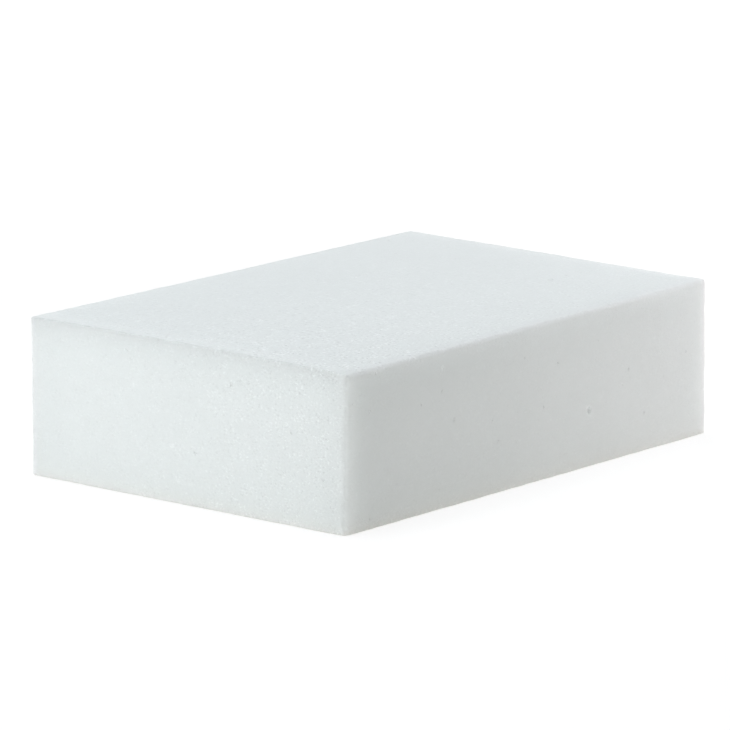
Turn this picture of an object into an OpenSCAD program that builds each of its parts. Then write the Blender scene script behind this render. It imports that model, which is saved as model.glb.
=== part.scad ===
// Melamine cleaning sponge: one plain block of open-cell foam, cut square on all six sides.
// The origin is at the middle of the underside. +X runs along the length, +Y across the
// width and +Z up, through the thickness. Sizes are in millimetres.

/* [Block] */
// Length of the block, along X
block_l = 110; // [60:1:200]
// Width of the block, along Y
block_w = 75; // [40:1:150]
// Thickness of the block, along Z
block_h = 30; // [15:1:60]

/* [Edges] */
// Radius of the eight edges round the top and the underside
face_edge_r = 0.8; // [0.2:0.1:4]
// Radius of the four upright edges at the corners
upright_edge_r = 1; // [0.2:0.1:4]

/* [Hidden] */
// Colour of the foam, a cool white
foam_colour = [0.91, 0.94, 0.94];
// Segments in a full turn of an edge radius
$fn = 48;
// How far each blank runs past the block at either end
overrun = 5;

// A rectangle centred on the origin with its four corners rounded to one radius.
module rounded_rectangle(size_x, size_y, r) {
    square([size_x - 2 * r, size_y], center = true);
    square([size_x, size_y - 2 * r], center = true);
    for (x = [-1, 1], y = [-1, 1])
        translate([x * (size_x / 2 - r), y * (size_y / 2 - r)])
            circle(r);
}

// The block seen from above, with the four upright edges rounded.
module plan_blank() {
    translate([0, 0, -overrun])
        linear_extrude(block_h + 2 * overrun)
            rounded_rectangle(block_l, block_w, upright_edge_r);
}

// The block seen along its width, with the edges at both ends rounded.
module front_blank() {
    translate([0, block_w / 2 + overrun, block_h / 2])
        rotate([90, 0, 0])
            linear_extrude(block_w + 2 * overrun)
                rounded_rectangle(block_l, block_h, face_edge_r);
}

// The block seen along its length, with the long edges rounded.
module end_blank() {
    translate([-block_l / 2 - overrun, 0, block_h / 2])
        rotate([90, 0, 90])
            linear_extrude(block_l + 2 * overrun)
                rounded_rectangle(block_w, block_h, face_edge_r);
}

// The foam block: what all three blanks share.
module foam_block() {
    color(foam_colour)
        intersection() {
            plan_blank();
            front_blank();
            end_blank();
        }
}

foam_block();
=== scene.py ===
"""Melamine sponge: one block of very fine open-cell foam, cut on all six sides.

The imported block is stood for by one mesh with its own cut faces, worn edges and open
pores. It gets a matt foam finish, and stands in a plain white studio with one camera.
"""

import logging
import math
from dataclasses import dataclass, field
from enum import Enum
from typing import Any, Union

import bpy
import numpy as np
from mathutils import Matrix, Vector, kdtree, noise


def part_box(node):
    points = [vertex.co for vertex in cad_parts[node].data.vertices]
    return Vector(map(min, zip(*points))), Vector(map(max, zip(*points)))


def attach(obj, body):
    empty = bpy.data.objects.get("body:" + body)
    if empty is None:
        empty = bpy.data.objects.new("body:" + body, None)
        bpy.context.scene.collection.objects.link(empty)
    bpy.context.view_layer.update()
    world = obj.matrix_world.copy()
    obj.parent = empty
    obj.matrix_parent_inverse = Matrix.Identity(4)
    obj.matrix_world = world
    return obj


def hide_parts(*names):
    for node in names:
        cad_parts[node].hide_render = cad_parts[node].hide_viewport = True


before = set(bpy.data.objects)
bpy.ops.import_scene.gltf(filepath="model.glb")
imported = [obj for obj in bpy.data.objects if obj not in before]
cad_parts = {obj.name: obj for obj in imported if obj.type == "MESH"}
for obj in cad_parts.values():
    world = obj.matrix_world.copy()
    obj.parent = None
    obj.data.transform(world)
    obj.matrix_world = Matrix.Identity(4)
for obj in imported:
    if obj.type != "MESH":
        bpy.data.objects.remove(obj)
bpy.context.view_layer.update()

MM = 0.001
NODE = "foam_block"
# The attribute that holds painted shade and painted light beside the edges and in the pits.
PAINTED_SHADE = "wear_and_painted_shade"
OPEN = "open"
LOG = logging.getLogger("melamine_sponge")

Operand = Union["Term", bpy.types.NodeSocket, float, int, tuple, str, bool, bpy.types.ID]


class Term:
    """One value in a node tree, so that sums on it read as Python expressions."""

    def __init__(self, graph: "Graph", socket: bpy.types.NodeSocket) -> None:
        """Wrap one output socket of a graph."""
        self.graph = graph
        self.socket = socket

    def maths(self, operation: str, *operands: Operand) -> "Term":
        """Add a Math node.

        Args:
            operation: The Math node's operation, such as ADD.
            operands: What goes into its sockets, in order.

        Returns:
            The node's result.
        """
        return self.graph.make("ShaderNodeMath", {"operation": operation}, dict(enumerate(operands)))

    def __add__(self, other: Operand) -> "Term":
        """Return self + other."""
        return self.maths("ADD", self, other)

    def __radd__(self, other: Operand) -> "Term":
        """Return other + self."""
        return self.maths("ADD", other, self)

    def __sub__(self, other: Operand) -> "Term":
        """Return self - other."""
        return self.maths("SUBTRACT", self, other)

    def __rsub__(self, other: Operand) -> "Term":
        """Return other - self."""
        return self.maths("SUBTRACT", other, self)

    def __mul__(self, other: Operand) -> "Term":
        """Return self * other."""
        return self.maths("MULTIPLY", self, other)

    def __rmul__(self, other: Operand) -> "Term":
        """Return other * self."""
        return self.maths("MULTIPLY", other, self)

    def __truediv__(self, other: Operand) -> "Term":
        """Return self / other."""
        return self.maths("DIVIDE", self, other)

    def __rtruediv__(self, other: Operand) -> "Term":
        """Return other / self."""
        return self.maths("DIVIDE", other, self)

    def __pow__(self, other: Operand) -> "Term":
        """Return self to the power of other."""
        return self.maths("POWER", self, other)

    def ramp(self, low: float, high: float) -> "Term":
        """Rise smoothly from 0 to 1.

        Args:
            low: Where the result is still 0.
            high: Where the result has reached 1.

        Returns:
            The smooth step, between 0 and 1.
        """
        settings = {"interpolation_type": "SMOOTHSTEP", "clamp": True}
        return self.graph.make("ShaderNodeMapRange", settings, {0: self, 1: low, 2: high, 3: 0.0, 4: 1.0})


class Graph:
    """A node tree that is filled through one method."""

    def __init__(self, tree: bpy.types.NodeTree) -> None:
        """Start from an empty tree."""
        tree.nodes.clear()
        self.tree = tree

    def node(self, kind: str, settings: dict[str, Any], inputs: dict[Any, Operand]) -> bpy.types.Node:
        """Add any node.

        Args:
            kind: The node's type name.
            settings: Its own settings, which are set before its sockets.
            inputs: Socket name or number to the value or the link that it takes.

        Returns:
            The new node.
        """
        node = self.tree.nodes.new(kind)
        for name, value in settings.items():
            setattr(node, name, value)
        for key, value in inputs.items():
            if isinstance(value, Term):
                self.tree.links.new(value.socket, node.inputs[key])
            elif isinstance(value, bpy.types.NodeSocket):
                self.tree.links.new(value, node.inputs[key])
            else:
                node.inputs[key].default_value = value
        return node

    def make(
        self, kind: str, settings: dict[str, Any], inputs: dict[Any, Operand], output: Union[str, int] = 0
    ) -> Term:
        """Add any node and take one of its outputs.

        Args:
            kind: The node's type name.
            settings: Its own settings, which are set before its sockets.
            inputs: Socket name or number to the value or the link that it takes.
            output: The name or number of the output to take.

        Returns:
            That output.
        """
        return Term(self, self.node(kind, settings, inputs).outputs[output])


@dataclass(frozen=True)
class FoamFinish:
    """The matt white of cut melamine foam.

    The cells are far finer than the mesh, so they are a grain in the colour and the relief.
    Two attributes of the mesh steer them: one holds painted shade beside the edges
    and in the pits, with painted light where it is below 0, and OPEN says how rough the saw
    left a face. The lengths are in metres, and the tones are shares of the foam's own
    brightness. Where a pattern comes in is a pair: the value where it is still nothing, and the
    value where it is full. The deep light is the share that passes into the foam, and cell_lie
    says how tightly the cells are packed along X, Y and Z.
    """

    colour: tuple[float, float, float, float] = (0.845, 0.88, 0.875, 1.0)
    roughness: float = 0.95
    specular: float = 0.15
    deep_light: float = 0.9
    depth_of_light: float = 4.5 * MM
    cell_lie: tuple[float, float, float] = (0.7, 0.7, 1.0)
    cell: float = 0.34 * MM
    fleck: float = 0.391 * MM
    mottle: float = 1.4 * MM
    patch: float = 2.0 * MM
    cloud: float = 18.0 * MM
    relief: float = 0.09 * MM
    relief_strength: float = 0.6
    strut_relief: float = 0.5
    strut_ends: tuple[float, float] = (0.02, 0.25)
    strut_mean: float = 0.35
    bright_from: tuple[float, float] = (0.56, 0.75)
    dark_from: tuple[float, float] = (0.43, 0.26)
    patch_from: tuple[float, float] = (0.36, 0.64)
    patch_grain: tuple[float, float] = (0.5, 1.3)
    base_tone: float = 0.965
    strut_tone: float = 0.03
    bright_tone: float = 0.15
    dark_tone: float = 0.13
    mottle_tone: float = 0.03
    cloud_tone: float = 0.03

    def material(self) -> bpy.types.Material:
        """Build the finish.

        Returns:
            The material.
        """
        material = bpy.data.materials.new("melamine_foam")
        material.use_nodes = True
        graph = Graph(material.node_tree)
        local = graph.make("ShaderNodeTexCoord", {}, {}, "Object")
        place = graph.make("ShaderNodeVectorMath", {"operation": "MULTIPLY"}, {0: local, 1: self.cell_lie})
        strut, fleck = self.struts(graph, place), self.noise(graph, place, self.fleck)
        tone = self.tone(graph, place, strut, fleck)
        grey = graph.make("ShaderNodeCombineColor", {}, {0: tone, 1: tone, 2: tone})
        shade = graph.make(
            "ShaderNodeMix",
            {"data_type": "RGBA", "blend_type": "MULTIPLY"},
            {0: 1.0, 6: self.colour, 7: grey},
            2,
        )
        height = strut * self.strut_relief + fleck
        normal = graph.make(
            "ShaderNodeBump",
            {},
            {"Height": height, "Distance": self.relief, "Strength": self.relief_strength},
            "Normal",
        )
        skin = graph.node(
            "ShaderNodeBsdfPrincipled",
            {"subsurface_method": "RANDOM_WALK"},
            {
                "Base Color": shade,
                "Roughness": self.roughness,
                "Specular IOR Level": self.specular,
                "Subsurface Weight": self.deep_light,
                "Subsurface Radius": (1.0, 1.0, 1.0),
                "Subsurface Scale": self.depth_of_light,
                "Normal": normal,
            },
        )
        graph.node("ShaderNodeOutputMaterial", {}, {"Surface": skin.outputs[0]})
        return material

    def noise(self, graph: Graph, place: Term, size: float, detail: float = 1.0) -> Term:
        """Make soft noise.

        Args:
            graph: The tree to add to.
            place: Where the noise is read.
            size: The size of its features.
            detail: How many finer layers it has.

        Returns:
            The noise, which lies about 0.5.
        """
        inputs = {"Vector": place, "Scale": 1 / size, "Detail": detail, "Roughness": 0.5}
        return graph.make("ShaderNodeTexNoise", {}, inputs, "Fac")

    def struts(self, graph: Graph, place: Term) -> Term:
        """Draw the thin struts between the cells.

        Args:
            graph: The tree to add to.
            place: Where the pattern is read.

        Returns:
            1 on a strut and 0 inside a cell.
        """
        inputs = {"Vector": place, "Scale": 1 / self.cell}
        walls = graph.make("ShaderNodeTexVoronoi", {"feature": "DISTANCE_TO_EDGE"}, inputs, "Distance")
        return 1.0 - walls.ramp(*self.strut_ends)

    def tone(self, graph: Graph, place: Term, strut: Term, fleck: Term) -> Term:
        """Work out how bright the foam is from place to place, with its painted shade and light.

        Args:
            graph: The tree to add to.
            place: Where the patterns are read.
            strut: The pattern of struts.
            fleck: The noise that the bright and dark flecks come from.

        Returns:
            A share of the foam's colour.
        """
        rough, worn = (
            graph.make("ShaderNodeAttribute", {"attribute_name": name}, {}, "Fac") for name in (OPEN, PAINTED_SHADE)
        )
        bright = fleck.ramp(*self.bright_from) * self.bright_tone
        dark = fleck.ramp(*self.dark_from) * self.dark_tone
        grain = (strut - self.strut_mean) * self.strut_tone + bright - dark
        weak, strong = self.patch_grain
        patchy = self.noise(graph, place, self.patch).ramp(*self.patch_from) * (strong - weak) + weak
        mottle = (self.noise(graph, place, self.mottle, 2.0) - 0.5) * self.mottle_tone
        cloud = (self.noise(graph, place, self.cloud) - 0.5) * self.cloud_tone
        # Painted shade and light: the attribute read as worn darkens the foam, or lightens it where it is
        # below 0.
        return (self.base_tone + grain * patchy * rough + mottle + cloud) * (1.0 - worn)


@dataclass(frozen=True)
class WhiteFinish:
    """Plain white paper under the block, which the camera sees as a white ground with a faint shadow.

    The bounce and the glow light the block. The camera sees the shown share of the paper's own
    shading, which holds the shadow, and a white that lifts it: less of it under the block, and
    all of it from fade_to metres away.
    """

    bounce: float = 0.8
    glow: tuple[float, float, float, float] = (0.245, 0.235, 0.205, 1.0)
    shown: float = 0.3
    lift: float = 0.76
    far_lift: float = 1.0
    fade_from: float = 0.16
    fade_to: float = 0.45

    def material(self) -> bpy.types.Material:
        """Build the finish.

        Returns:
            The material.
        """
        material = bpy.data.materials.new("white_paper")
        material.use_nodes = True
        graph = Graph(material.node_tree)
        place = graph.make("ShaderNodeTexCoord", {}, {}, "Object")
        reach = graph.make("ShaderNodeVectorMath", {"operation": "LENGTH"}, {0: place}, "Value")
        far = reach.ramp(self.fade_from, self.fade_to)
        lift = self.lift + far * (self.far_lift - self.lift)
        white = graph.node("ShaderNodeEmission", {}, {"Color": (1.0, 1.0, 1.0, 1.0), "Strength": lift})
        paper = graph.node("ShaderNodeBsdfDiffuse", {}, {"Color": (self.shown,) * 3 + (1.0,)})
        seen = graph.node("ShaderNodeAddShader", {}, {0: white.outputs[0], 1: paper.outputs[0]})
        sheet = graph.node("ShaderNodeBsdfDiffuse", {}, {"Color": (self.bounce,) * 3 + (1.0,)})
        under = graph.node("ShaderNodeEmission", {}, {"Color": self.glow, "Strength": 1.0})
        real = graph.node("ShaderNodeAddShader", {}, {0: sheet.outputs[0], 1: under.outputs[0]})
        mixed = graph.node(
            "ShaderNodeMixShader", {}, {0: straight_rays(graph), 1: real.outputs[0], 2: seen.outputs[0]}
        )
        graph.node("ShaderNodeOutputMaterial", {}, {"Surface": mixed.outputs[0]})
        return material


def straight_rays(graph: Graph) -> Term:
    """Tell the rays that show the ground itself from those that light the block.

    Args:
        graph: The tree to add to.

    Returns:
        1 for camera, glossy and transmitted rays, and 0 for the rest.
    """
    path = graph.node("ShaderNodeLightPath", {}, {})
    camera = Term(graph, path.outputs["Is Camera Ray"])
    glossy = camera.maths("MAXIMUM", camera, path.outputs["Is Glossy Ray"])
    return glossy.maths("MAXIMUM", glossy, path.outputs["Is Transmission Ray"])


class Corner(Enum):
    """The block's eight corners, each as its side along X, Y and Z."""

    FRONT_LEFT_TOP = (-1, -1, 1)
    FRONT_RIGHT_TOP = (1, -1, 1)
    BACK_LEFT_TOP = (-1, 1, 1)
    BACK_RIGHT_TOP = (1, 1, 1)
    FRONT_LEFT_FOOT = (-1, -1, -1)
    FRONT_RIGHT_FOOT = (1, -1, -1)
    BACK_LEFT_FOOT = (-1, 1, -1)
    BACK_RIGHT_FOOT = (1, 1, -1)


def saw_drift() -> dict[Corner, tuple[float, float, float]]:
    """Give how far the saw left each corner from its true place, in millimetres.

    Returns:
        A corner to its drift along X, Y and Z. The foot stays flat.
    """
    return {
        Corner.FRONT_LEFT_TOP: (0.2, -0.85, -0.07),
        Corner.FRONT_RIGHT_TOP: (-0.15, 0.7, 0.2),
        Corner.BACK_LEFT_TOP: (-0.25, 0.4, 0.2),
        Corner.BACK_RIGHT_TOP: (0.7, -0.8, 0.1),
        Corner.FRONT_LEFT_FOOT: (0.35, -0.30, 0.0),
        Corner.FRONT_RIGHT_FOOT: (-0.1, 0.2, 0.0),
        Corner.BACK_LEFT_FOOT: (-0.35, 0.0, 0.0),
        Corner.BACK_RIGHT_FOOT: (0.3, -0.3, 0.0),
    }


def smooth_noise(points: np.ndarray, wavelength: float, salt: float) -> np.ndarray:
    """Sample smooth noise that is the same on each run.

    Args:
        points: The places, one to a row, in metres.
        wavelength: The length of one rise and fall, in metres.
        salt: A shift that tells one noise from another.

    Returns:
        One number for each place, from about -1 to 1.
    """
    shifted = points / wavelength + salt
    return np.array([noise.noise(Vector(p)) for p in shifted])


@dataclass(frozen=True)
class Ripple:
    """One smooth unevenness of the foam: how much, how long in metres, and the salt of its noise."""

    amount: float
    wavelength: float
    salt: float

    def at(self, points: np.ndarray) -> np.ndarray:
        """Return the unevenness at each point."""
        return self.amount * smooth_noise(points, self.wavelength, self.salt)


class Edge(Enum):
    """The block's twelve edges, each as its side along X, Y and Z, with 0 along the edge itself."""

    TOP_LEFT = (-1, 0, 1)
    TOP_RIGHT = (1, 0, 1)
    TOP_FRONT = (0, -1, 1)
    TOP_BACK = (0, 1, 1)
    FOOT_LEFT = (-1, 0, -1)
    FOOT_RIGHT = (1, 0, -1)
    FOOT_FRONT = (0, -1, -1)
    FOOT_BACK = (0, 1, -1)
    FRONT_LEFT = (-1, -1, 0)
    FRONT_RIGHT = (1, -1, 0)
    BACK_LEFT = (-1, 1, 0)
    BACK_RIGHT = (1, 1, 0)


@dataclass(frozen=True)
class Wear:
    """What the saw and handling did to one edge, and the dark line of painted shade along it.

    The lengths are in millimetres, and the painted shade line is a share of the foam's own brightness.
    """

    radius: float
    nick: float = 0.05
    line: float = 0.0


@dataclass(frozen=True)
class Shade:
    """Painted shade beside one edge, or painted light where the amount is below 0.

    The amount is a share of the foam's own brightness. The reach is how far it runs from the
    edge along X, Y and Z, in millimetres. The fade is how soon it comes in from the edge's two
    ends, low end first, in millimetres. It runs right to an end where that is 0.
    """

    edge: Edge
    amount: float
    reach: tuple[float, float, float]
    fade: tuple[float, float] = (0.0, 0.0)


def edge_wear_and_shade_line() -> dict[Edge, Wear]:
    """Give each edge its wear and its line of painted shade.

    Returns:
        An edge to its wear.
    """
    foot = Wear(0.25, nick=0.03)
    return {
        # The top left edge has a dark line of painted shade along it.
        Edge.TOP_LEFT: Wear(0.22, nick=0.05, line=0.08),
        Edge.TOP_FRONT: Wear(0.8),
        Edge.TOP_RIGHT: Wear(0.5),
        Edge.TOP_BACK: Wear(0.5),
        Edge.FOOT_LEFT: foot,
        Edge.FOOT_RIGHT: foot,
        Edge.FOOT_FRONT: foot,
        Edge.FOOT_BACK: foot,
        Edge.FRONT_LEFT: Wear(1.6, nick=0.015),
        Edge.FRONT_RIGHT: Wear(0.5),
        Edge.BACK_LEFT: Wear(0.5, nick=0.02),
        Edge.BACK_RIGHT: Wear(1.0),
    }


def edge_shades() -> tuple[Shade, ...]:
    """Give the soft painted shades beside the edges, with painted light where an amount is below 0.

    Returns:
        The shades, which add up.
    """
    # Painted shade beside the edges; the amounts below 0 are painted light.
    return (
        Shade(Edge.TOP_LEFT, 0.20, (0.5, 1.0, 1.9), fade=(1.6, 0.0)),
        Shade(Edge.TOP_LEFT, 0.025, (0.5, 1.0, 7.0), fade=(12.0, 0.0)),
        Shade(Edge.TOP_FRONT, 0.07, (1.0, 5.0, 4.0)),
        Shade(Edge.FRONT_LEFT, 0.13, (1.0, 2.9, 1.0), fade=(0.0, 0.4)),
        Shade(Edge.FRONT_LEFT, -0.265, (1.9, 1.0, 1.0), fade=(0.0, 0.8)),
        Shade(Edge.FRONT_LEFT, 0.045, (55.0, 1.0, 1.0)),
        Shade(Edge.FOOT_FRONT, -0.02, (1.0, 1.0, 4.0)),
        Shade(Edge.FOOT_LEFT, 0.07, (1.0, 1.0, 9.0)),
        Shade(Edge.FOOT_LEFT, -0.07, (1.0, 1.0, 1.5)),
        Shade(Edge.BACK_LEFT, 0.09, (1.0, 3.0, 1.0)),
        Shade(Edge.FRONT_RIGHT, 0.05, (1.2, 1.0, 1.0)),
    )


@dataclass
class FoamBlock:
    """The block of foam as it is cut: flat but not quite true, with worn edges and painted shade and light
    beside them.

    The mesh is one closed skin of four-sided cells, finer beside the edges. The lengths are in
    metres. The top's crown has lost the crown_fall share of its height at the rim.

    The three open values say how rough the saw left the faces: from the back to the front of an
    end face, all over a long face, and from the far corner of the top to the front left one. The
    powers say how late the roughness rises on its way there. An end face is smoother again close
    to its front edge: from smooth_from, as a share of half the block's width, down to
    smooth_share of its roughness at the edge itself.
    """

    low: Vector
    high: Vector
    cell: float = 0.66 * MM
    first_cell: float = 0.08 * MM
    growth: float = 1.32
    edge_spread: float = 0.5 * MM
    edge_falloff: float = 1.5
    painted_shade_line_width: float = 0.22 * MM
    nick_depth: float = 0.8 * MM
    crown: float = 0.1 * MM
    crown_fall: float = 0.999
    end_bow: float = 0.28 * MM
    wave: Ripple = Ripple(0.05 * MM, 11 * MM, 17.3)
    nap: Ripple = Ripple(0.012 * MM, 1.6 * MM, 5.1)
    radius_ripple: Ripple = Ripple(0.2, 9 * MM, 3.7)
    shade_ripple: Ripple = Ripple(0.35, 2.2 * MM, 71.1)
    nick_ripples: tuple[Ripple, ...] = (Ripple(2.0, 3.6 * MM, 31.9), Ripple(1.6, 1.9 * MM, 57.3))
    face_blend: int = 24
    end_open: tuple[float, float] = (0.20, 0.80)
    end_power: int = 2
    smooth_from: float = -0.96
    smooth_share: float = 0.4
    side_open: float = 0.15
    top_open: tuple[float, float] = (0.22, 1.75)
    top_power: int = 3
    wear_and_painted_shade: dict[Edge, Wear] = field(default_factory=edge_wear_and_shade_line)
    shades: tuple[Shade, ...] = field(default_factory=edge_shades)
    drift: dict[Corner, tuple[float, float, float]] = field(default_factory=saw_drift)

    @property
    def half(self) -> np.ndarray:
        """Return half of each side."""
        return np.array(self.high - self.low) / 2

    def stops(self, size: float) -> np.ndarray:
        """Divide one side of the block.

        Args:
            size: The side's length.

        Returns:
            The places of the divisions, from minus half the size to half.
        """
        band = [0.0]
        step = self.first_cell
        while step < self.cell:
            band.append(band[-1] + step)
            step *= self.growth
        inner = size - 2 * band[-1]
        middle = np.linspace(band[-1], size - band[-1], round(inner / self.cell) + 1)[1:-1]
        return np.concatenate([band, middle, size - np.array(band[::-1])]) - size / 2

    def lattice(self) -> tuple[np.ndarray, np.ndarray]:
        """Lay the four-sided cells on a sharp-edged block.

        Returns:
            The vertices about the block's centre, and four vertex numbers for each face.
        """
        axes = [self.stops(size) for size in self.high - self.low]
        counts = [len(axis) for axis in axes]
        # Two ways round a cell, for the low and the high end of an axis, so that both face outwards.
        rings = ((0, 0), (0, 1), (1, 1), (1, 0)), ((0, 0), (1, 0), (1, 1), (0, 1))
        faces = []
        for axis in range(3):
            across, along = (axis + 1) % 3, (axis + 2) % 3
            u, v = np.meshgrid(np.arange(counts[across] - 1), np.arange(counts[along] - 1), indexing="ij")
            for end, ring in zip((0, counts[axis] - 1), rings):
                quad = np.zeros((u.size, 4, 3), int)
                quad[:, :, axis] = end
                for corner, (du, dv) in enumerate(ring):
                    quad[:, corner, across] = u.ravel() + du
                    quad[:, corner, along] = v.ravel() + dv
                faces.append(quad)
        index = np.concatenate(faces)
        keys = (index[..., 0] * counts[1] + index[..., 1]) * counts[2] + index[..., 2]
        used, numbers = np.unique(keys, return_inverse=True)
        i, rest = np.divmod(used, counts[1] * counts[2])
        j, k = np.divmod(rest, counts[2])
        points = np.column_stack([axes[0][i], axes[1][j], axes[2][k]])
        return points, numbers.reshape(keys.shape)

    def from_edge(self, points: np.ndarray, edge: Edge) -> np.ndarray:
        """Measure how far points are from an edge.

        Args:
            points: The vertices of the sharp-edged block, about its centre.
            edge: The edge to measure from.

        Returns:
            The distance along X, Y and Z for each point, with 0 along the edge itself.
        """
        side = np.array(edge.value)
        return np.abs(side) * (self.half - side * points)

    def edge_share(self, points: np.ndarray) -> dict[Edge, np.ndarray]:
        """Say how much each edge counts at each point.

        Args:
            points: The vertices of the sharp-edged block, about its centre.

        Returns:
            An edge to one share for each point. The shares of a point add up to 1.
        """
        pull = {}
        for edge in self.wear_and_painted_shade:
            gap = np.sum(self.from_edge(points, edge) ** 2, axis=1)
            pull[edge] = (gap + self.edge_spread**2) ** -self.edge_falloff
        total = sum(pull.values())
        return {edge: weight / total for edge, weight in pull.items()}

    def shaped(self, points: np.ndarray) -> np.ndarray:
        """Wear the edges and give the faces their slight unevenness.

        Args:
            points: The vertices of the sharp-edged block, about its centre.

        Returns:
            The vertices of the cut block, about its centre.
        """
        half = self.half
        share = self.edge_share(points)
        radius = MM * sum(share[edge] * wear_and_painted_shade.radius for edge, wear_and_painted_shade in self.wear_and_painted_shade.items())
        radius *= 1 + self.radius_ripple.at(points)
        core = np.clip(points, -(half - radius[:, None]), half - radius[:, None])
        outward = points - core
        outward /= np.linalg.norm(outward, axis=1)[:, None]
        worn = core + outward * radius[:, None]
        nick = MM * sum(
            share[edge] * wear_and_painted_shade.nick * np.exp(-np.sum(self.from_edge(points, edge), axis=1) / self.nick_depth)
            for edge, wear_and_painted_shade in self.wear_and_painted_shade.items()
        )
        waver = sum(ripple.at(points) for ripple in self.nick_ripples)
        lift = self.wave.at(points) + self.nap.at(points) + nick * waver
        worn = worn + outward * lift[:, None]
        place = worn / half
        bow = np.prod(1 - place[:, :2] ** 2 * self.crown_fall, axis=1)
        end_bow = (1 - place[:, 1] ** 2) * ((1 - place[:, 0]) / 2) ** 2
        worn[:, 2] += (self.crown * bow + self.end_bow * end_bow) * np.clip(place[:, 2], 0, 1)
        for corner, drift in self.drift.items():
            weight = np.prod((1 + place * np.array(corner.value)) / 2, axis=1)
            worn += weight[:, None] * np.array(drift) * MM
        worn[:, 2] = np.maximum(worn[:, 2], -half[2])
        return worn

    def painted_edge_shade(self, points: np.ndarray) -> np.ndarray:
        """Work out the painted shade beside the edges, with painted light where it is below 0.

        Args:
            points: The vertices of the sharp-edged block, about its centre.

        Returns:
            One share of the foam's brightness for each point.
        """
        total = np.zeros(len(points))
        uneven = 1 + self.shade_ripple.at(points)
        # A thin dark line of painted shade along each edge.
        for edge, wear_and_painted_shade in self.wear_and_painted_shade.items():
            gap = np.sum(self.from_edge(points, edge), axis=1)
            total += wear_and_painted_shade.line * uneven * np.exp(-gap / self.painted_shade_line_width)
        # Soft painted shade beside the edges, and painted light where an amount is below 0.
        for shade in self.shades:
            gap = self.from_edge(points, shade.edge) / (np.array(shade.reach) * MM)
            strength = shade.amount * np.exp(-np.sum(gap, axis=1))
            along = shade.edge.value.index(0)
            for side, length in zip((-1, 1), shade.fade):
                if length:
                    from_end = self.half[along] - side * points[:, along]
                    strength *= 1 - np.exp(-from_end / (length * MM))
            total += strength
        return total

    def openness(self, points: np.ndarray) -> np.ndarray:
        """Say how rough the saw left each face.

        Args:
            points: The vertices of the sharp-edged block, about its centre.

        Returns:
            One number for each point, which the strength of the grain is multiplied by.
        """
        place = points / self.half
        facing = np.abs(place) ** self.face_blend
        nearer = (2 - place[:, 0] - place[:, 1]) / 4
        back, front = self.end_open
        end = back + (front - back) * ((1 - place[:, 1]) / 2) ** self.end_power
        end *= np.interp(place[:, 1], (-1, self.smooth_from), (self.smooth_share, 1))
        side = np.full(len(points), self.side_open)
        far, near = self.top_open
        top = far + (near - far) * nearer**self.top_power
        kinds = np.column_stack([end, side, top])
        return np.sum(facing * kinds, axis=1) / np.sum(facing, axis=1)

    def build(self) -> bpy.types.Object:
        """Make the block's object, with no pores yet.

        Returns:
            The object, at the origin, with its place in its mesh.
        """
        points, faces = self.lattice()
        centre = np.array((self.low + self.high) / 2)
        mesh = bpy.data.meshes.new("foam_block_skin")
        mesh.from_pydata((self.shaped(points) + centre).tolist(), [], faces.tolist())
        # The first attribute is painted shade and light beside the edges; the second is the grain's
        # roughness.
        for name, values in ((PAINTED_SHADE, self.painted_edge_shade(points)), (OPEN, self.openness(points))):
            mesh.attributes.new(name, "FLOAT", "POINT").data.foreach_set("value", values.astype(np.float32))
        mesh.shade_smooth()
        mesh.update()
        block = bpy.data.objects.new("foam_block_skin", mesh)
        bpy.context.scene.collection.objects.link(block)
        return block


@dataclass(frozen=True)
class Pit:
    """One larger hollow, placed by its share of half the block along X, Y and Z.

    One of the shares is 1 or -1, which is the face that the hollow is in. The radius is in
    metres, and dark is the share of the foam's brightness that painted shade takes from the middle.
    """

    share: tuple[float, float, float]
    radius: float
    dark: float

    @property
    def facing(self) -> tuple[float, float, float]:
        """Return the direction that the hollow's face points in."""
        return tuple(share if abs(share) == 1 else 0.0 for share in self.share)


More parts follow.
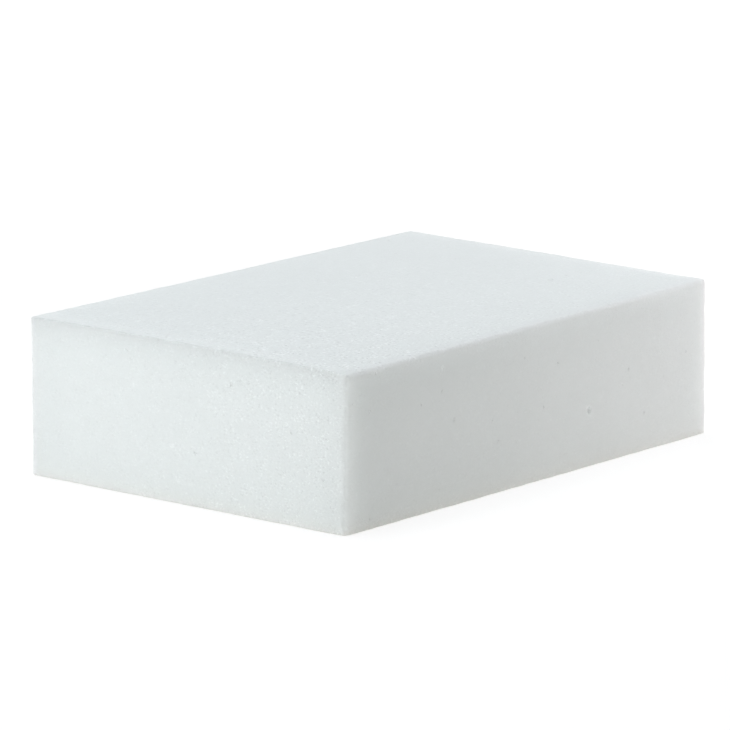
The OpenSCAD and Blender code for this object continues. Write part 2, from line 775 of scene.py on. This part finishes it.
@dataclass(frozen=True)
class Pores:
    """The larger bubbles that the saw opened, cut into the faces as real hollows.

    The lengths are in metres, and the density is in bubbles to a square metre. Of the shares of
    a bubble's radius, depth is how deep it goes, ragged is how far its skin strays from round,
    and oval is how long it may be. The higher the rarity, the fewer the large ones are.
    """

    spacing: float = 6.0 * MM
    density: float = 6000.0
    smallest: float = 0.10 * MM
    largest: float = 0.30 * MM
    depth: float = 0.45
    ragged: float = 0.3
    lump: float = 0.25 * MM
    oval: tuple[float, float] = (0.75, 1.3)
    rarity: int = 3
    facets: int = 3
    seed: int = 11
    oval_seed: int = 5
    dark_reach: float = 0.7
    rim_angle: float = math.radians(50)
    # The last number of each pit is the painted shade in its middle.
    pits: tuple[Pit, ...] = (
        Pit((0.32, -1.0, -0.28), 0.75 * MM, 0.07),
        Pit((-0.88, -1.0, 0.48), 0.26 * MM, 0.06),
        Pit((-0.50, -1.0, 0.47), 0.24 * MM, 0.05),
        Pit((-0.43, -1.0, 0.07), 0.26 * MM, 0.06),
        Pit((-0.61, -1.0, 0.38), 0.20 * MM, 0.04),
        Pit((-0.22, -1.0, -0.07), 0.22 * MM, 0.05),
        Pit((-0.19, -1.0, -0.34), 0.22 * MM, 0.04),
        Pit((0.14, -1.0, 0.43), 0.26 * MM, 0.05),
        Pit((0.51, -1.0, -0.07), 0.20 * MM, 0.04),
        Pit((0.63, -0.40, 1.0), 0.55 * MM, 0.02),
    )

    def tree(self) -> bpy.types.GeometryNodeTree:
        """Build the Geometry Nodes tree that cuts the pores.

        Returns:
            The tree, with its sizes as named inputs.
        """
        tree = bpy.data.node_groups.new("open_pores", "GeometryNodeTree")
        face = tree.interface
        face.new_socket("Geometry", in_out="INPUT", socket_type="NodeSocketGeometry")
        for name in ("Spacing", "Density", "Smallest", "Largest", "Depth", "Ragged"):
            face.new_socket(name, in_out="INPUT", socket_type="NodeSocketFloat")
        face.new_socket("Seed", in_out="INPUT", socket_type="NodeSocketInt")
        face.new_socket("Pits", in_out="INPUT", socket_type="NodeSocketObject")
        face.new_socket("Foam", in_out="INPUT", socket_type="NodeSocketMaterial")
        face.new_socket("Geometry", in_out="OUTPUT", socket_type="NodeSocketGeometry")
        graph = Graph(tree)
        given = graph.node("NodeGroupInput", {}, {}).outputs
        scatter = graph.node(
            "GeometryNodeDistributePointsOnFaces",
            {"distribute_method": "POISSON"},
            {
                "Mesh": given["Geometry"],
                "Distance Min": given["Spacing"],
                "Density Max": given["Density"],
                "Seed": given["Seed"],
            },
        )
        chance = graph.make("FunctionNodeRandomValue", {"data_type": "FLOAT"}, {"Seed": given["Seed"]}, 1)
        smallest, largest = Term(graph, given["Smallest"]), Term(graph, given["Largest"])
        ball = {"Radius": 1.0, "Subdivisions": self.facets}
        bubble = graph.make("GeometryNodeMeshIcoSphere", {}, ball, "Mesh")
        random_bubbles = self.bubbles(
            graph,
            given,
            bubble,
            scatter.outputs["Points"],
            scatter.outputs["Rotation"],
            smallest + (largest - smallest) * chance**self.rarity,
        )
        pits = graph.make("GeometryNodeObjectInfo", {}, {"Object": given["Pits"]}, "Geometry")
        facing = self.held(graph, "facing", "FLOAT_VECTOR")
        turn = graph.make("FunctionNodeAlignRotationToVector", {"axis": "Z"}, {"Vector": facing})
        radius = self.held(graph, "radius")
        noted_bubbles = self.bubbles(graph, given, bubble, pits, turn, radius)
        both = graph.node("GeometryNodeJoinGeometry", {}, {})
        for part in (random_bubbles, noted_bubbles):
            tree.links.new(part.socket, both.inputs[0])
        cut = graph.node(
            "GeometryNodeMeshBoolean",
            {"operation": "DIFFERENCE", "solver": "EXACT"},
            {"Mesh 1": given["Geometry"], "Mesh 2": both.outputs[0]},
        )
        real = graph.node("GeometryNodeRealizeInstances", {}, {"Geometry": cut.outputs[0]})
        dressed = graph.node(
            "GeometryNodeSetMaterial", {}, {"Geometry": real.outputs[0], "Material": given["Foam"]}
        )
        graph.node("NodeGroupOutput", {}, {"Geometry": dressed.outputs[0]})
        return tree

    def bubbles(
        self,
        graph: Graph,
        given: bpy.types.NodeOutputs,
        bubble: Term,
        points: Operand,
        turn: Operand,
        radius: Term,
    ) -> Term:
        """Put a ragged bubble on each point.

        Args:
            graph: The tree to add to.
            given: The outputs of the tree's input node.
            bubble: A round bubble of radius 1.
            points: Where the bubbles go.
            turn: How each bubble is turned.
            radius: How large each bubble is.

        Returns:
            The bubbles as real meshes.
        """
        shortest, longest = self.oval
        spread = {2: shortest, 3: longest, "Seed": self.oval_seed}
        oval = graph.make("FunctionNodeRandomValue", {"data_type": "FLOAT"}, spread, 1)
        sides = {"X": radius * oval, "Y": radius, "Z": radius * given["Depth"]}
        size = graph.make("ShaderNodeCombineXYZ", {}, sides)
        noted = graph.make(
            "GeometryNodeStoreNamedAttribute",
            {"data_type": "FLOAT", "domain": "POINT"},
            {"Geometry": points, "Name": "bubble_radius", "Value": radius},
        )
        placed = graph.make(
            "GeometryNodeInstanceOnPoints",
            {},
            {"Points": noted, "Instance": bubble, "Rotation": turn, "Scale": size},
        )
        real = graph.make("GeometryNodeRealizeInstances", {}, {"Geometry": placed})
        unevenness = graph.make("ShaderNodeTexNoise", {}, {"Scale": 1 / self.lump, "Detail": 1.0}, "Fac")
        out = (unevenness * 2.0 - 1.0) * given["Ragged"] * self.held(graph, "bubble_radius")
        normal = graph.make("GeometryNodeInputNormal", {}, {})
        push = graph.make("ShaderNodeVectorMath", {"operation": "SCALE"}, {0: normal, "Scale": out})
        return graph.make("GeometryNodeSetPosition", {}, {"Geometry": real, "Offset": push})

    def held(self, graph: Graph, name: str, kind: str = "FLOAT") -> Term:
        """Read a value that each point holds under a name."""
        return graph.make("GeometryNodeInputNamedAttribute", {"data_type": kind}, {"Name": name})

    def pit_places(self, shape: FoamBlock) -> np.ndarray:
        """Find the places of the noted pits.

        Args:
            shape: The block, whose skin they lie on.

        Returns:
            One place for each pit, in metres.
        """
        sharp = np.array([pit.share for pit in self.pits]) * shape.half
        return shape.shaped(sharp) + np.array((shape.low + shape.high) / 2)

    def pit_points(self, places: np.ndarray) -> bpy.types.Object:
        """Make the points that the noted pits are cut at.

        Args:
            places: The pits' places.

        Returns:
            An object with one vertex for each pit.
        """
        mesh = bpy.data.meshes.new("pit_points")
        mesh.from_pydata(places.tolist(), [], [])
        facing = np.array([pit.facing for pit in self.pits], np.float32)
        radius = np.array([pit.radius for pit in self.pits], np.float32)
        mesh.attributes.new("facing", "FLOAT_VECTOR", "POINT").data.foreach_set("vector", facing.ravel())
        mesh.attributes.new("radius", "FLOAT", "POINT").data.foreach_set("value", radius)
        points = bpy.data.objects.new("pit_points", mesh)
        bpy.context.scene.collection.objects.link(points)
        return points

    def cut(self, shape: FoamBlock, foam: bpy.types.Material) -> bpy.types.Object:
        """Open the pores in a block.

        Args:
            shape: The block to build and cut.
            foam: The finish of the block.

        Returns:
            A plain mesh object with the pores in it.
        """
        places = self.pit_places(shape)
        block, points = shape.build(), self.pit_points(places)
        tree = self.tree()
        modifier = block.modifiers.new("open_pores", "NODES")
        modifier.node_group = tree
        values = {
            "Spacing": self.spacing,
            "Density": self.density,
            "Smallest": self.smallest,
            "Largest": self.largest,
            "Depth": self.depth,
            "Ragged": self.ragged,
            "Seed": self.seed,
            "Pits": points,
            "Foam": foam,
        }
        for item in tree.interface.items_tree:
            if item.in_out == "INPUT" and item.name in values:
                modifier[item.identifier] = values[item.name]
        bpy.context.view_layer.update()
        mesh = bpy.data.meshes.new_from_object(block.evaluated_get(bpy.context.evaluated_depsgraph_get()))
        mesh.name = "melamine_sponge"
        block.modifiers.remove(modifier)
        for used in (block, points):
            bpy.data.objects.remove(used)
        self.dress_hollows(mesh, places)
        sponge = bpy.data.objects.new("melamine_sponge", mesh)
        bpy.context.scene.collection.objects.link(sponge)
        return sponge

    def dress_hollows(self, mesh: bpy.types.Mesh, places: np.ndarray) -> None:
        """Give the new vertices in the pores their painted shade and roughness, paint shade into the noted
        pits, and crease the rims.

        Args:
            mesh: The cut mesh, whose old vertices still have theirs.
            places: The noted pits' places.
        """
        place = np.zeros(len(mesh.vertices) * 3, np.float32)
        mesh.vertices.foreach_get("co", place)
        place = place.reshape(-1, 3)
        wear_and_painted_shade, rough = (np.zeros(len(mesh.vertices), np.float32) for _ in range(2))
        mesh.attributes[PAINTED_SHADE].data.foreach_get("value", wear_and_painted_shade)
        mesh.attributes[OPEN].data.foreach_get("value", rough)
        # The vertices that the cut made have no roughness of their own yet.
        old = np.flatnonzero(rough > 0)
        tree = kdtree.KDTree(len(old))
        for number in old:
            tree.insert(place[number], int(number))
        tree.balance()
        for number in np.flatnonzero(rough <= 0):
            nearest = tree.find(place[number])[1]
            wear_and_painted_shade[number] = wear_and_painted_shade[nearest]
            rough[number] = rough[nearest]
        # Painted shade in the middle of each noted pit, where the hollow is in shade.
        for pit, middle in zip(self.pits, places):
            gap = np.linalg.norm(place - middle, axis=1) / (self.dark_reach * pit.radius)
            wear_and_painted_shade += pit.dark * np.exp(-(gap**2))
        mesh.attributes[PAINTED_SHADE].data.foreach_set("value", wear_and_painted_shade)
        mesh.attributes[OPEN].data.foreach_set("value", rough)
        for name in ("radius", "bubble_radius", "facing", "id"):
            if name in mesh.attributes:
                mesh.attributes.remove(mesh.attributes[name])
        mesh.set_sharp_from_angle(angle=self.rim_angle)


@dataclass(frozen=True)
class Softbox:
    """One flat studio lamp that faces the block.

    The angles are in degrees, the lengths in metres and the power in watts.
    """

    name: str
    azimuth: float
    elevation: float
    distance: float
    size: tuple[float, float]
    power: float
    tint: tuple[float, float, float] = (1.0, 1.0, 1.0)

    def build(self, target: Vector) -> None:
        """Hang the lamp.

        Args:
            target: The point that the lamp faces.
        """
        light = bpy.data.lights.new(self.name, "AREA")
        light.shape = "RECTANGLE"
        light.size, light.size_y = self.size
        light.energy = self.power
        light.color = self.tint
        lamp = bpy.data.objects.new(self.name, light)
        bpy.context.scene.collection.objects.link(lamp)
        away = direction(self.azimuth, self.elevation)
        lamp.visible_camera = False
        lamp.matrix_world = Matrix.Translation(target + away * self.distance) @ turned(away).to_4x4()


def direction(azimuth: float, elevation: float) -> Vector:
    """Point from the block towards a viewer or a lamp.

    Args:
        azimuth: Degrees round from the block's front, towards its right end.
        elevation: Degrees above the ground.

    Returns:
        A vector of length 1.
    """
    a, e = math.radians(azimuth), math.radians(elevation)
    return Vector((math.sin(a) * math.cos(e), -math.cos(a) * math.cos(e), math.sin(e)))


def turned(away: Vector) -> Matrix:
    """Turn a camera or lamp so that its back is towards a direction and its top is up."""
    return away.to_track_quat("Z", "Y").to_matrix()


@dataclass
class Studio:
    """The white ground, the soft lamps and the camera.

    The lengths are in metres and the angles in degrees, but the lens and the sensor are in
    millimetres, as a camera's are.
    """

    target: Vector
    ground_size: float = 12.0
    ground_drop: float = 0.1 * MM
    ambient: float = 0.1
    azimuth: float = -50.7
    elevation: float = 12.36
    roll: float = 0.29
    distance: float = 1.25
    lens: float = 325.6
    sensor: float = 36.0
    sight: tuple[float, float] = (0.05, 50.0)
    aim: Vector = field(default_factory=lambda: Vector((-0.9, 1.85, 17.07)) * MM)
    lamps: tuple[Softbox, ...] = (
        Softbox("top_lamp", 0.0, 88.0, 1.2, (0.8, 0.8), 6.82, (0.942, 0.990, 1.0)),
        Softbox("back_lamp", 180.0, 62.0, 1.2, (0.8, 0.8), 3.60, (0.931, 0.961, 1.0)),
        Softbox("left_lamp", -110.0, 12.0, 0.45, (0.3, 0.3), 1.06, (0.957, 0.968, 1.0)),
        Softbox("right_lamp", 60.0, 12.0, 0.3, (0.2, 0.2), 0.44, (1.0, 0.935, 0.965)),
    )

    def build_ground(self) -> None:
        """Lay the ground just under the block."""
        half = self.ground_size / 2
        corners = ((-half, -half), (half, -half), (half, half), (-half, half))
        mesh = bpy.data.meshes.new("ground")
        mesh.from_pydata([(x, y, -self.ground_drop) for x, y in corners], [], [(0, 1, 2, 3)])
        mesh.materials.append(WhiteFinish().material())
        ground = bpy.data.objects.new("ground", mesh)
        bpy.context.scene.collection.objects.link(ground)

    def build_world(self) -> None:
        """Fill the room with a plain white glow, which the camera sees as white."""
        world = bpy.data.worlds.new("white_room")
        bpy.context.scene.world = world
        world.use_nodes = True
        graph = Graph(world.node_tree)
        strength = self.ambient + straight_rays(graph) * (1.0 - self.ambient)
        glow = graph.node("ShaderNodeBackground", {}, {"Color": (1.0, 1.0, 1.0, 1.0), "Strength": strength})
        graph.node("ShaderNodeOutputWorld", {}, {"Surface": glow.outputs[0]})

    def build_camera(self) -> None:
        """Set up the camera with a long lens."""
        data = bpy.data.cameras.new("camera")
        data.lens = self.lens
        data.sensor_width = self.sensor
        data.clip_start, data.clip_end = self.sight
        camera = bpy.data.objects.new("camera", data)
        bpy.context.scene.collection.objects.link(camera)
        away = direction(self.azimuth, self.elevation)
        tilt = Matrix.Rotation(math.radians(self.roll), 4, "Z")
        place = Matrix.Translation(self.aim + away * self.distance)
        camera.matrix_world = place @ turned(away).to_4x4() @ tilt
        bpy.context.scene.camera = camera

    def build(self) -> None:
        """Build the whole studio."""
        self.build_ground()
        self.build_world()
        for lamp in self.lamps:
            lamp.build(self.target)
        self.build_camera()
        bpy.context.scene.view_settings.view_transform = "Standard"


def main() -> None:
    """Build the sponge and its studio in order."""
    logging.basicConfig(level=logging.INFO, format="%(name)s: %(message)s")
    low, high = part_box(NODE)
    sponge = Pores().cut(FoamBlock(low, high), FoamFinish().material())
    LOG.info("sponge: %d faces", len(sponge.data.polygons))
    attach(sponge, "root")
    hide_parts(NODE)
    studio = Studio(target=(low + high) / 2)
    studio.build()
    LOG.info("studio: %d lamps", len(studio.lamps))


if __name__ == "__main__":
    main()
